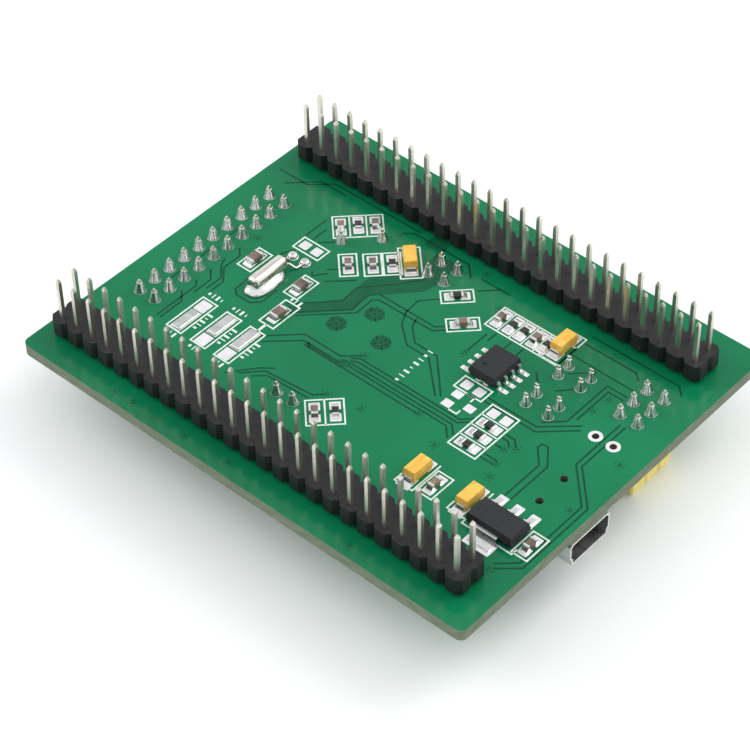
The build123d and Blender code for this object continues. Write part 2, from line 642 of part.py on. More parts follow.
# ---- small parts ----
def make_small_parts():
    """Chip capacitors, chip resistors, tantalums, lamps and solder bridges."""
    for name, height, small, large in (
        ("capacitor", CAPACITOR_HEIGHT, CAPACITORS_ABOVE, LARGE_CAPACITORS_ABOVE),
        ("resistor", RESISTOR_HEIGHT, RESISTORS_ABOVE, []),
    ):
        for kind, shape in (("bodies", chip_middle), ("ends", chip_ends)):
            with BuildPart() as group:
                for size, places in ((SMALL_CHIP, small), (LARGE_CHIP, large)):
                    if places:
                        with Locations(*[above(*place) for place in places]):
                            add(shape(size, height).part)
            save(group, f"upper_{name}_{kind}")
    for name, height, places in (
        ("capacitor", CAPACITOR_HEIGHT, CAPACITORS_BELOW),
        ("resistor", RESISTOR_HEIGHT, RESISTORS_BELOW),
    ):
        spots = [below(*place) for place in places]
        save(copies(chip_middle(SMALL_CHIP, height), spots), f"lower_{name}_bodies")
        save(copies(chip_ends(SMALL_CHIP, height), spots), f"lower_{name}_ends")

    tantalums = [above(*place) for place in TANTALUMS]
    body = chip_body(TANTALUM_X, TANTALUM_Y, 0.12, TANTALUM_Z, draft=0.08)
    with BuildPart() as rounded:
        add(body.part)
        fillet(rounded.edges().group_by(Axis.Z)[-1], 0.12)
    save(copies(rounded, tantalums), "tantalum_bodies")
    half = TANTALUM_X / 2
    with BuildPart() as tabs:
        for side in (-1, 1):
            with BuildSketch(Plane.XZ):
                with BuildLine():
                    outline = [(-0.7, 0), (0.14, 0), (0.14, 0.8), (0, 0.8), (-0.08, 0.12), (-0.7, 0.12)]
                    Polyline(*[(side * (half + x), z) for x, z in outline], close=True)
                make_face()
            extrude(amount=0.6, both=True)
    save(copies(tabs, tantalums), "tantalum_tabs")

    lamps = [below(*place) for place in LEDS_BELOW]
    with BuildPart() as carrier:
        Box(2.0, 1.25, 0.4, align=(Align.CENTER, Align.CENTER, Align.MIN))
    save(copies(carrier, lamps), "lamp_carriers")
    with BuildPart() as lens:
        with BuildSketch(Plane.XY.offset(0.4)):
            Rectangle(1.2, 1.1)
        with BuildSketch(Plane.XY.offset(0.8)):
            Rectangle(1.05, 0.95)
        loft()
    save(copies(lens, lamps), "lamp_lenses")

    with BuildPart() as bridge:
        Box(BRIDGE_X, BRIDGE_Y, BRIDGE_Z, align=(Align.CENTER, Align.CENTER, Align.MIN))
        fillet(bridge.edges().filter_by(Axis.Z), 0.3)
        fillet(bridge.edges().group_by(Axis.Z)[-1], 0.25)
    save(copies(bridge, [above(*place) for place in SOLDER_JUMPERS]), "solder_bridges")


os.makedirs("parts", exist_ok=True)
make_pcb()
make_long_headers()
make_debug_socket()
make_jumpers()
make_switch()
make_button()
make_usb()
make_chips()
make_watch_crystal()
make_main_crystal()
make_small_parts()
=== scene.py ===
"""Looks for the microcontroller header board: camera, light, materials, print, pads and solder."""

import json
import math

import bmesh
import bpy
from mathutils import Matrix, Vector


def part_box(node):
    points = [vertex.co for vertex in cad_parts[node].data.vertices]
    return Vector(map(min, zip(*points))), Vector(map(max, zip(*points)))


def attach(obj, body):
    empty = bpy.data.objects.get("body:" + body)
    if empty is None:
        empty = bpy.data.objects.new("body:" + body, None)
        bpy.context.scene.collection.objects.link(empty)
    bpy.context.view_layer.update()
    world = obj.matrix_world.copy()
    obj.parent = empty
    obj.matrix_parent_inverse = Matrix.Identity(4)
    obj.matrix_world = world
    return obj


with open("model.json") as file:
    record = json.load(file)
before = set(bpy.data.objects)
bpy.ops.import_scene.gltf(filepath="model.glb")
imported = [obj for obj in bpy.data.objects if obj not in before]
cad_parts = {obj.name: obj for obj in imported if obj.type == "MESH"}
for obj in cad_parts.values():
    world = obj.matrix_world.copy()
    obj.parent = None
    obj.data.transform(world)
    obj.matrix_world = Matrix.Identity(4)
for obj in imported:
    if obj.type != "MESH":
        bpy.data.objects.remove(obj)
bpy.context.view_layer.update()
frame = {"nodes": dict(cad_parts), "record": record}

MM = 0.001
NODES = frame["nodes"]
PCB_LOW, PCB_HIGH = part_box("pcb")
PIN_HALF = 0.25 * MM
FIRST_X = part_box("front_header_pins")[0].x + PIN_HALF    # the front header's first pin
FIRST_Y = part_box("front_header_pins")[0].y + PIN_HALF
FACE, UNDER = PCB_HIGH.z, PCB_LOW.z
PITCH = 2.54

# ------------------------------------------------------------------ camera, light, floor
VIEW_AZIMUTH, VIEW_ELEVATION, VIEW_ROLL = 41.58, 44.97, -0.65     # degrees
VIEW_TARGET = Vector((4.51, -3.80, 10.6)) * MM
VIEW_DISTANCE = 293.5 * MM
LENS, SENSOR = 121.0, 36.0
VIEW_SHIFT = -0.0337, 0.0133


def make_camera():
    """The camera, which looks down on the board from the front right."""
    azimuth, elevation = math.radians(VIEW_AZIMUTH), math.radians(VIEW_ELEVATION)
    back = Vector((
        math.sin(azimuth) * math.cos(elevation),
        -math.cos(azimuth) * math.cos(elevation),
        math.sin(elevation),
    ))
    data = bpy.data.cameras.new("camera")
    camera = bpy.data.objects.new("camera", data)
    bpy.context.scene.collection.objects.link(camera)
    turn = back.to_track_quat("Z", "Y") @ Matrix.Rotation(math.radians(VIEW_ROLL), 3, "Z").to_quaternion()
    camera.rotation_mode = "QUATERNION"
    camera.rotation_quaternion = turn
    camera.location = VIEW_TARGET + back * VIEW_DISTANCE
    data.lens, data.sensor_width = LENS, SENSOR
    data.shift_x, data.shift_y = VIEW_SHIFT
    data.clip_start, data.clip_end = 0.01, 20
    bpy.context.scene.camera = camera


def area_light(name, place, size, power, colour=(1, 1, 1)):
    """One square soft box that faces the origin."""
    data = bpy.data.lights.new(name, "AREA")
    data.shape, data.size, data.size_y = "RECTANGLE", size, size
    data.energy, data.color = power, colour
    light = bpy.data.objects.new(name, data)
    light.location = place
    light.rotation_euler = (-Vector(place)).to_track_quat("-Z", "Y").to_euler()
    bpy.context.scene.collection.objects.link(light)


def sky_patch(tree, where, direction, inner, outer, low):
    """A factor that is low inside a soft round patch of the surroundings, and 1 outside it."""
    dot = tree.nodes.new("ShaderNodeVectorMath")
    dot.operation = "DOT_PRODUCT"
    dot.inputs[1].default_value = Vector(direction).normalized()
    tree.links.new(where, dot.inputs[0])
    fade = tree.nodes.new("ShaderNodeMapRange")
    fade.interpolation_type = "SMOOTHSTEP"
    for key, value in (("From Min", outer), ("From Max", inner), ("To Min", 1.0), ("To Max", low)):
        fade.inputs[key].default_value = value
    tree.links.new(dot.outputs["Value"], fade.inputs["Value"])
    return fade.outputs[0]


SKY_LEVEL, SKY_COLOUR = 1.13, (0.97, 0.985, 1.0)
NEAR_PATCH = (0.65, -0.74, 0.10), 0.93, 0.78, 0.06      # direction, cosines of its rims, and its level
FAR_PATCH = (-0.47, 0.53, 0.70), 0.97, 0.70, 0.72
FLOOR_HALF = 3.0
FLOOR_COLOUR = (0.93, 0.94, 0.935)


def make_stage():
    """White floor and wrap-round light, with two darker patches for the metal to mirror."""
    scene = bpy.context.scene
    scene.view_settings.view_transform = "Standard"
    world = bpy.data.worlds.new("studio")
    scene.world = world
    world.use_nodes = True
    tree = world.node_tree
    back = tree.nodes["Background"]
    where = tree.nodes.new("ShaderNodeTexCoord").outputs["Generated"]
    near = sky_patch(tree, where, *NEAR_PATCH)
    far = sky_patch(tree, where, *FAR_PATCH)
    both = tree.nodes.new("ShaderNodeMath")
    both.operation = "MULTIPLY"
    tree.links.new(near, both.inputs[0])
    tree.links.new(far, both.inputs[1])
    level = tree.nodes.new("ShaderNodeMath")
    level.operation = "MULTIPLY"
    level.inputs[1].default_value = SKY_LEVEL
    tree.links.new(both.outputs[0], level.inputs[0])
    tree.links.new(level.outputs[0], back.inputs["Strength"])
    back.inputs["Color"].default_value = (*SKY_COLOUR, 1)
    area_light("key", (0.22, 0.42, 0.48), 0.35, 1.35, (1.0, 0.98, 0.95))
    area_light("left", (-0.50, -0.25, 0.35), 0.30, 0.9)
    mesh = bpy.data.meshes.new("floor")
    corners = [(sx * FLOOR_HALF, sy * FLOOR_HALF, 0) for sx, sy in ((-1, -1), (1, -1), (1, 1), (-1, 1))]
    mesh.from_pydata(corners, [], [(0, 1, 2, 3)])
    floor = bpy.data.objects.new("floor", mesh)
    scene.collection.objects.link(floor)
    floor.data.materials.append(plain("paper", FLOOR_COLOUR, 0.7, specular=0.2))


# ------------------------------------------------------------------ material helpers
def plain(name, colour, roughness, metallic=0.0, specular=0.5):
    """A material with a Principled shader and constant values."""
    material = bpy.data.materials.new(name)
    material.use_nodes = True
    shader = material.node_tree.nodes["Principled BSDF"]
    shader.inputs["Base Color"].default_value = (*colour, 1)
    shader.inputs["Roughness"].default_value = roughness
    shader.inputs["Metallic"].default_value = metallic
    shader.inputs["Specular IOR Level"].default_value = specular
    return material


class Nodes:
    """Short ways to wire procedural detail, in object space and in millimetres."""

    def __init__(self, material):
        self.tree = material.node_tree
        self.shader = self.tree.nodes["Principled BSDF"]
        geometry = self.tree.nodes.new("ShaderNodeTexCoord")
        self.where = geometry.outputs["Object"]

    def feed(self, socket, value):
        """Links a socket, or sets a number or a colour, into socket."""
        if isinstance(value, bpy.types.NodeSocket):
            self.tree.links.new(value, socket)
        elif isinstance(value, tuple):
            socket.default_value = (*value, 1)
        else:
            socket.default_value = value

    def add(self, kind, **inputs):
        """A new node with its inputs fed by name."""
        node = self.tree.nodes.new(kind)
        for key, value in inputs.items():
            self.feed(node.inputs[key], value)
        return node

    def scaled(self, scale):
        """Object coordinates in millimetres, stretched by scale on each axis."""
        mapping = self.add("ShaderNodeMapping", Vector=self.where)
        mapping.inputs["Scale"].default_value = [s / MM for s in scale]
        return mapping.outputs[0]

    def noise(self, size, detail=3.0, stretch=(1, 1, 1), roughness=0.5):
        """Noise whose features are about size millimetres across."""
        place = self.scaled([s / size for s in stretch])
        node = self.add("ShaderNodeTexNoise", Vector=place, Scale=1.0, Detail=detail, Roughness=roughness)
        return node.outputs["Fac"]

    def ramp(self, value, stops):
        """Colours along value; stops are (position, colour)."""
        node = self.add("ShaderNodeValToRGB", Fac=value)
        ramp = node.color_ramp
        while len(ramp.elements) < len(stops):
            ramp.elements.new(0.5)
        for element, (position, colour) in zip(ramp.elements, stops):
            element.position = position
            element.color = (*colour, 1)
        return node.outputs["Color"]

    def spread(self, value, low, high):
        """value from its usual 0.3 to 0.7 mapped to low to high."""
        node = self.add("ShaderNodeMapRange", Value=value)
        for key, number in (("From Min", 0.3), ("From Max", 0.7), ("To Min", low), ("To Max", high)):
            node.inputs[key].default_value = number
        return node.outputs[0]

    def mix(self, factor, one, two):
        """Colour one where factor is 0, and two where it is 1."""
        node = self.tree.nodes.new("ShaderNodeMix")
        node.data_type = "RGBA"
        for index, value in ((0, factor), (6, one), (7, two)):
            self.feed(node.inputs[index], value)
        return node.outputs[2]

    def math(self, kind, one, two=0.0):
        """One step of arithmetic."""
        node = self.tree.nodes.new("ShaderNodeMath")
        node.operation = kind
        self.feed(node.inputs[0], one)
        self.feed(node.inputs[1], two)
        return node.outputs[0]

    def colour(self, socket):
        """Gives the shader its colour."""
        self.tree.links.new(socket, self.shader.inputs["Base Color"])

    def roughness(self, socket):
        """Gives the shader its roughness."""
        self.tree.links.new(socket, self.shader.inputs["Roughness"])

    def bump(self, height, distance, strength=1.0):
        """Raises the surface by distance millimetres where height is 1."""
        node = self.add("ShaderNodeBump", Height=height)
        node.inputs["Distance"].default_value = distance * MM
        node.inputs["Strength"].default_value = strength
        self.tree.links.new(node.outputs[0], self.shader.inputs["Normal"])


def shaded(name, colours, grain, roughness, metallic=0.0, bump=0.0, stretch=(1, 1, 1), specular=0.5):
    """A material whose colour, roughness and surface all vary by noise of grain millimetres."""
    material = plain(name, colours[0], roughness[0], metallic, specular)
    nodes = Nodes(material)
    spots = nodes.noise(grain, stretch=stretch)
    stops = [(0.3 + 0.4 * i / (len(colours) - 1), colour) for i, colour in enumerate(colours)]
    nodes.colour(nodes.ramp(spots, stops))
    patches = nodes.noise(grain * 2.3, stretch=stretch)
    nodes.roughness(nodes.spread(patches, *roughness))
    if bump:
        nodes.bump(nodes.noise(grain * 0.7, detail=1.0, stretch=stretch), bump)
    return material


# ------------------------------------------------------------------ the materials
MASK_GREEN = (0.002, 0.154, 0.059)
MASK_LIGHT = (0.003, 0.194, 0.076)
MASK_DARK = (0.001, 0.048, 0.018)


def mask_material():
    """Green mask on both faces, glass laminate on the edge, and tinned barrels in the holes."""
    material = plain("solder_mask", MASK_GREEN, 0.2, specular=0.25)
    nodes = Nodes(material)
    tree = nodes.tree
    green = nodes.ramp(nodes.noise(14.0, detail=2.0), [(0.3, MASK_GREEN), (0.7, MASK_LIGHT)])
    layers = nodes.noise(0.5, stretch=(0.25, 0.25, 6.0))
    laminate = nodes.ramp(layers, [(0.35, (0.10, 0.135, 0.09)), (0.65, (0.22, 0.25, 0.175))])
    geometry = tree.nodes.new("ShaderNodeNewGeometry")
    normal = nodes.add("ShaderNodeSeparateXYZ", Vector=geometry.outputs["Normal"])
    flat = nodes.math("GREATER_THAN", nodes.math("ABSOLUTE", normal.outputs["Z"]), 0.5)
    place = nodes.add("ShaderNodeSeparateXYZ", Vector=nodes.where)
    middle = (PCB_LOW + PCB_HIGH) / 2
    half = (PCB_HIGH - PCB_LOW) / 2
    edge_x = nodes.math("ABSOLUTE", nodes.math("SUBTRACT", place.outputs["X"], middle.x))
    edge_y = nodes.math("ABSOLUTE", nodes.math("SUBTRACT", place.outputs["Y"], middle.y))
    inside_x = nodes.math("LESS_THAN", edge_x, half.x - 1.2 * MM)
    inside_y = nodes.math("LESS_THAN", edge_y, half.y - 1.2 * MM)
    inside = nodes.math("MULTIPLY", inside_x, inside_y)
    barrel = nodes.math("MULTIPLY", inside, nodes.math("SUBTRACT", 1.0, flat))
    side = nodes.mix(barrel, laminate, (0.30, 0.27, 0.22))
    nodes.colour(nodes.mix(flat, side, green))
    tree.links.new(barrel, nodes.shader.inputs["Metallic"])
    sheen = nodes.spread(nodes.noise(6.0, detail=1.0), 0.15, 0.21)
    rough_side = nodes.add("ShaderNodeMix", Factor=flat)
    rough_side.inputs[2].default_value = 0.75
    tree.links.new(sheen, rough_side.inputs[3])
    nodes.roughness(rough_side.outputs[0])
    nodes.bump(nodes.noise(2.5, detail=1.0), 0.006, 0.6)
    return material


MATERIALS = {}
TIN = ((0.60, 0.57, 0.49), (0.80, 0.77, 0.69))
SHINY_TIN = ((0.72, 0.72, 0.71), (0.88, 0.88, 0.87))
LOOKS = {       # colours, grain in millimetres and roughness range, then anything special
    "header_plastic": dict(
        colours=((0.007, 0.007, 0.008), (0.018, 0.018, 0.020)), grain=0.35, roughness=(0.36, 0.54), bump=0.006,
        specular=0.35),
    "pin_tin": dict(colours=TIN, grain=0.8, roughness=(0.26, 0.36), metallic=1.0, stretch=(1, 1, 0.12)),
    "solder": dict(colours=((0.58, 0.58, 0.57), (0.82, 0.82, 0.81)), grain=1.4, roughness=(0.14, 0.24), metallic=1.0),
    "chip_epoxy": dict(
        colours=((0.011, 0.012, 0.014), (0.026, 0.027, 0.031)), grain=0.16, roughness=(0.50, 0.68), bump=0.006,
        specular=0.35),
    "lead_tin": dict(colours=SHINY_TIN, grain=1.2, roughness=(0.2, 0.3), metallic=1.0),
    "tantalum_orange": dict(
        colours=((0.78, 0.40, 0.04), (0.90, 0.57, 0.11)), grain=0.9, roughness=(0.34, 0.48), bump=0.004),
    "capacitor_ceramic": dict(
        colours=((0.075, 0.060, 0.050), (0.20, 0.14, 0.11), (0.34, 0.25, 0.12)), grain=6.0, roughness=(0.35, 0.5),
        bump=0.003),
    "resistor_glaze": dict(
        colours=((0.010, 0.010, 0.012), (0.032, 0.030, 0.032)), grain=0.7, roughness=(0.18, 0.3), bump=0.002),
    "can_steel": dict(
        colours=((0.30, 0.29, 0.25), (0.66, 0.63, 0.55), (0.84, 0.81, 0.72), (0.90, 0.87, 0.78)), grain=0.7,
        roughness=(0.08, 0.18), metallic=1.0, bump=0.01, stretch=(1, 0.12, 1)),
    "shell_steel": dict(
        colours=((0.66, 0.66, 0.66), (0.82, 0.82, 0.81)), grain=0.9, roughness=(0.18, 0.32), metallic=1.0, bump=0.002,
        stretch=(0.2, 1, 1)),
    "black_nylon": dict(
        colours=((0.008, 0.008, 0.009), (0.018, 0.018, 0.020)), grain=0.4, roughness=(0.35, 0.5), bump=0.004),
    "contact_gold": dict(
        colours=((0.75, 0.52, 0.18), (0.86, 0.66, 0.28)), grain=0.4, roughness=(0.15, 0.3), metallic=1.0),
    "switch_laminate": dict(
        colours=((0.10, 0.045, 0.018), (0.18, 0.085, 0.035)), grain=0.35, roughness=(0.5, 0.7), bump=0.008),
    "jumper_yellow": dict(
        colours=((0.86, 0.68, 0.16), (0.94, 0.79, 0.28)), grain=1.0, roughness=(0.25, 0.4), bump=0.003),
    "clip_bronze": dict(
        colours=((0.62, 0.40, 0.18), (0.76, 0.54, 0.28)), grain=0.4, roughness=(0.2, 0.35), metallic=1.0),
    "lamp_ceramic": dict(colours=((0.66, 0.65, 0.60), (0.80, 0.79, 0.74)), grain=0.3, roughness=(0.45, 0.6)),
    "lamp_lens": dict(colours=((0.55, 0.62, 0.32), (0.70, 0.76, 0.46)), grain=0.5, roughness=(0.1, 0.2)),
    "silkscreen": dict(
        colours=((0.62, 0.72, 0.66), (0.84, 0.88, 0.84)), grain=0.25, roughness=(0.5, 0.7), bump=0.004),
    "bare_pad": dict(
        colours=((0.84, 0.81, 0.83), (0.95, 0.92, 0.94)), grain=0.9, roughness=(0.34, 0.5), metallic=0.7, bump=0.002),
    "copper_relief": dict(
        colours=(MASK_DARK, (0.003, 0.066, 0.028)), grain=1.2, roughness=(0.30, 0.42), bump=0.003, specular=0.2),
    # darker mask for the bands: copper-free areas, and painted shade in front of the back header strip
    "gap_and_shade_band": dict(
        colours=((0.003, 0.088, 0.036), (0.004, 0.112, 0.048)), grain=2.5, roughness=(0.30, 0.40), specular=0.2),
}


def make_materials():
    """Every material by its slot in the record."""
    MATERIALS["solder_mask"] = mask_material()
    for name, look in LOOKS.items():
        MATERIALS[name] = shaded(name, **look)
    for entry in frame["record"]["subparts"]:
        node = NODES[entry["node"]]
        node.data.materials.clear()
        node.data.materials.append(MATERIALS[entry["material_slot"]])


# ------------------------------------------------------------------ flat work on the board's faces
SEGMENTS = 20
PAD_THICKNESS, INK_THICKNESS, RELIEF_THICKNESS, BAND_THICKNESS = 0.045, 0.022, 0.010, 0.006


def skin(mesh, loops, closed=False):
    """Quads between each loop of points and the next."""
    for one, two in zip(loops, loops[1:] + (loops[:1] if closed else [])):
        for k in range(len(one)):
            m = (k + 1) % len(one)
            mesh.faces.new((one[k], one[m], two[m], two[k]))


def along(x, y, angle, distance, across=0.0):
    """The point at distance along a part's long axis, and across it."""
    a = math.radians(angle)
    return (x + distance * math.cos(a) - across * math.sin(a), y + distance * math.sin(a) + across * math.cos(a))


class Layer:
    """A thin printed or plated layer on one face of the board. Places are millimetres from the first pin."""

    def __init__(self, name, slot, thickness, upper=True, start=0.0):
        self.name, self.slot = name, slot
        self.mesh = bmesh.new()
        self.sign = 1 if upper else -1
        self.base = (FACE if upper else UNDER) + self.sign * start * MM
        self.top = self.base + self.sign * thickness * MM

    def point(self, x, y, level):
        """A new vertex over a place, at level metres."""
        return self.mesh.verts.new((FIRST_X + x * MM, FIRST_Y + y * MM, level))

    def prism(self, outline):
        """A closed thin prism over an outline of (x, y) points."""
        lower = [self.point(x, y, self.base) for x, y in outline]
        upper = [self.point(x, y, self.top) for x, y in outline]
        self.mesh.faces.new(upper)
        self.mesh.faces.new(list(reversed(lower)))
        for i in range(len(outline)):
            j = (i + 1) % len(outline)
            self.mesh.faces.new((lower[i], lower[j], upper[j], upper[i]))

    def box(self, x, y, size_x, size_y, angle=0.0, corner=0.0):
        """A rectangle, with rounded corners where corner is given."""
        turn = Matrix.Rotation(math.radians(angle), 2)
        half_x, half_y = size_x / 2 - corner, size_y / 2 - corner
        outline = []
        for quarter, (sx, sy) in enumerate(((1, 1), (-1, 1), (-1, -1), (1, -1))):
            steps = 4 if corner else 1
            for step in range(steps):
                a = math.radians(90 * quarter + (90 * step / (steps - 1) if corner else 45))
                local = Vector((sx * half_x + corner * math.cos(a), sy * half_y + corner * math.sin(a)))
                outline.append(tuple(Vector((x, y)) + turn @ local))
        self.prism(outline)

    def disc(self, x, y, radius, segments=SEGMENTS):
        """A flat disc."""
        ring = [2 * math.pi * i / segments for i in range(segments)]
        self.prism([(x + radius * math.cos(a), y + radius * math.sin(a)) for a in ring])

    def ring(self, x, y, inner, outer, segments=SEGMENTS):
        """A flat ring with a real hole."""
        levels = ((inner, self.base), (outer, self.base), (outer, self.top), (inner, self.top))
        loops = []
        for i in range(segments):
            a = 2 * math.pi * i / segments
            loops.append([self.point(x + r * math.cos(a), y + r * math.sin(a), z) for r, z in levels])
        skin(self.mesh, loops, closed=True)

    def line(self, points, width, closed=False):
        """A printed line with mitred corners."""
        points = [Vector(p) for p in points]
        count = len(points)
        sides = []
        for i, p in enumerate(points):
            before = points[i - 1] if (closed or i > 0) else None
            after = points[(i + 1) % count] if (closed or i < count - 1) else None
            one = (p - before).normalized() if before is not None else (after - p).normalized()
            two = (after - p).normalized() if after is not None else one
            middle = (one + two).normalized()
            across = Vector((-middle.y, middle.x))
            reach = width / 2 / max(0.35, across.dot(Vector((-one.y, one.x))))
            sides.append((p + across * reach, p - across * reach))
        for i in range(count if closed else count - 1):
            (a, b), (c, d) = sides[i], sides[(i + 1) % count]
            self.prism([tuple(a), tuple(b), tuple(d), tuple(c)])

    def frame(self, x, y, size_x, size_y, angle=0.0, width=0.2):
        """A printed rectangle outline."""
        turn = Matrix.Rotation(math.radians(angle), 2)
        corners = ((-1, -1), (1, -1), (1, 1), (-1, 1))
        points = [Vector((x, y)) + turn @ Vector((sx * size_x / 2, sy * size_y / 2)) for sx, sy in corners]
        self.line(points, width, closed=True)

    def done(self, bevel=0.0, look=None):
        """Turns the layer into a piece that rides on the board."""
        bmesh.ops.recalc_face_normals(self.mesh, faces=self.mesh.faces)
        return finish_piece(self.name, self.mesh, self.slot, bevel=bevel, look=look)

    def wedge(self, x, y, angle, start, reach, half_width, height):
        """A concave solder fillet that falls from height at start to the layer's base at start + reach."""
        steps = 5
        sections = []
        for i in range(steps + 1):
            f = i / steps
            level = self.base + self.sign * height * (1 - f) ** 2 * MM
            points = [along(x, y, angle, start + reach * f, side * half_width * (1 + 0.12 * f)) for side in (-1, 1)]
            lower = [self.point(px, py, self.base) for px, py in points]
            upper = [self.point(px, py, level + self.sign * 0.004 * MM) for px, py in points]
            sections.append((lower[0], lower[1], upper[1], upper[0]))
        self.mesh.faces.new(sections[0])
        self.mesh.faces.new(list(reversed(sections[-1])))
        skin(self.mesh, sections)


def finish_piece(name, mesh, slot, bevel=0.0, look=None):
    """A named piece of the board, with the material of its slot or of another look."""
    data = bpy.data.meshes.new(name)
    mesh.to_mesh(data)
    mesh.free()
    piece = bpy.data.objects.new(name, data)
    bpy.context.scene.collection.objects.link(piece)
    data.materials.append(MATERIALS[look or slot])
    if bevel:
        modifier = piece.modifiers.new("soft_edges", "BEVEL")
        modifier.width, modifier.segments, modifier.limit_method = bevel * MM, 2, "ANGLE"
    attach(piece, "board")
    return piece


# ------------------------------------------------------------------ the upper face's layout, in millimetres
LARGE_CHIPS = [(8.1, 24.2, 90), (15.8, 24.2, 90), (17.05, 18.9, 90)]     # middle x, y and angle
TALL_CHIPS = [
    (12.1, 35.5, -45), (15.1, 38.6, -45), (17.45, 30.9, -45), (19.7, 32.9, -45), (31.4, 9.6, -45),
    (34.9, 32.0, 45), (37.75, 35.7, 90), (43.2, 35.7, 90), (49.3, 10.0, 90), (63.1, 9.9, 90),
]
FLAT_CHIPS = [
    (13.5, 37.2, -45), (21.4, 34.6, -45), (33.1, 11.3, -45), (31.2, 35.3, 45), (39.6, 35.7, 90),
    (41.3, 35.7, 90), (44.8, 35.7, 90), (48.1, 21.0, 0), (48.1, 19.05, 0), (48.1, 17.1, 0),
]
EMPTY_CHIPS = [(12.0, 30.15, 0), (42.75, 24.5, 0), (48.1, 22.9, 0)]
TANTALUMS = [(22.9, 36.2, -45), (46.4, 36.8, 90), (46.6, 10.2, 90), (53.8, 10.8, 90)]
MEMORY, REGULATOR = (42.8, 28.4), (58.7, 9.7)
SOLDER_JUMPERS = [(9.2, 11.0, 14.0), (13.2, 13.1, 10.0), (17.0, 13.1, 10.0)]    # x, bridged pads, lone pad
PIN_JOINTS = (
    [(1.34 + i * PITCH, 11.14 + j * PITCH) for i in range(2) for j in range(10)]
    + [(58.25 + i * PITCH, 32.25 + j * PITCH) for i in range(2) for j in range(3)]
    + [(25.9 + i * PITCH, 36.1 + j * PITCH) for i in range(2) for j in range(2)]
    + [(25.8 + i * PITCH, 9.2) for i in range(2)]
)
SWITCH_JOINTS = [(50.55 + x, 30.6 + y) for x in (-1.65, 1.65) for y in (-4.0, -2.0, 2.0, 4.0)]
CRYSTAL_JOINTS = [(13.9, 33.6), (17.5, 37.2)]
SPARE_HOLES = [(58.26, 27.7), (60.80, 27.7)]
HEADER_JOINTS = [(i * PITCH, y + j * PITCH) for y in (0.0, 42.7) for j in range(2) for i in range(25)]


def chip_pads(pads, x, y, angle):
    """The two pads of a chip part."""
    for side in (-1, 1):
        px, py = along(x, y, angle, side * 0.95)
        pads.box(px, py, 1.3, 1.35, angle, 0.12)


def make_fillets():
    """Solder that climbs the ends of the chip parts and tabs on the upper face."""
    for name, upper, groups in (
        ("upper_solder_fillets", True, (
            (LARGE_CHIPS, 1.0, 0.58, 0.6), (TALL_CHIPS, 0.8, 0.4, 0.6), (FLAT_CHIPS, 0.8, 0.4, 0.38),
            (TANTALUMS, 1.74, 0.58, 0.5))),
        ("lower_solder_fillets", False, (
            (TALL_CHIPS_BELOW, 0.8, 0.4, 0.6), (FLAT_CHIPS_BELOW, 0.8, 0.4, 0.38), (LAMPS_BELOW, 1.0, 0.6, 0.36))),
    ):
        fillets = Layer(name, "solder", 0.02, upper=upper, start=PAD_THICKNESS + 0.001)
        for places, half_length, half_width, height in groups:
            for x, y, angle in places:
                for turn in (0, 180):
                    fillets.wedge(x, y, angle + turn, half_length, 0.48, half_width, height)
        fillets.done()


def make_pads():
    """Tinned pads on the upper face: under the parts, bare, and round each solder joint."""
    pads = Layer("upper_pads", "bare_pad", PAD_THICKNESS)
    for x, y, angle in LARGE_CHIPS + TALL_CHIPS + FLAT_CHIPS + EMPTY_CHIPS:
        chip_pads(pads, x, y, angle)
    for x, y, angle in TANTALUMS:
        for side in (-1, 1):
            px, py = along(x, y, angle, side * 1.65)
            pads.box(px, py, 1.7, 1.7, angle, 0.12)
    for x, bridged, lone in SOLDER_JUMPERS:
        pads.box(x, bridged, 1.62, 3.9, 0, 0.1)
        pads.box(x, lone, 1.62, 1.85, 0, 0.1)
    for side in (-1, 1):
        for row in (-1.5, -0.5, 0.5, 1.5):
            pads.box(MEMORY[0] + side * 2.75, MEMORY[1] + row * 1.27, 1.5, 0.62, 0, 0.1)
    for step in (-2.3, 0.0, 2.3):
        pads.box(REGULATOR[0] + step, REGULATOR[1] + 3.1, 1.25, 2.0, 0, 0.12)
    pads.box(REGULATOR[0], REGULATOR[1] - 3.1, 3.7, 2.0, 0, 0.12)
    for x, y in ((42.0, 22.6), (42.0, 20.75)):
        pads.box(x, y, 1.3, 1.15, 0, 0.1)
    pads.box(44.55, 21.7, 1.3, 1.15, 0, 0.1)
    for x, y in ((11.26, 27.65), (13.23, 27.70)):
        pads.disc(x, y, 0.75)
    for x, y in PIN_JOINTS:
        pads.ring(x, y, 0.5, 0.78)
    for x, y in SWITCH_JOINTS + CRYSTAL_JOINTS:
        pads.ring(x, y, 0.4, 0.7)
    for x, y in SPARE_HOLES:
        pads.ring(x, y, 0.45, 0.88, 32)
    for x, y in HEADER_JOINTS:
        pads.ring(x, y, 0.4, 0.6, 12)
    pads.done(bevel=0.02)


POOL_PLACE, POOL_TURN = (11.98, 21.95), 92
POOL_HALF_WIDTH, POOL_HALF_LENGTH, POOL_HEIGHT = 1.62, 3.1, 0.95
POOL_LEVELS, POOL_SIDES = 7, 40


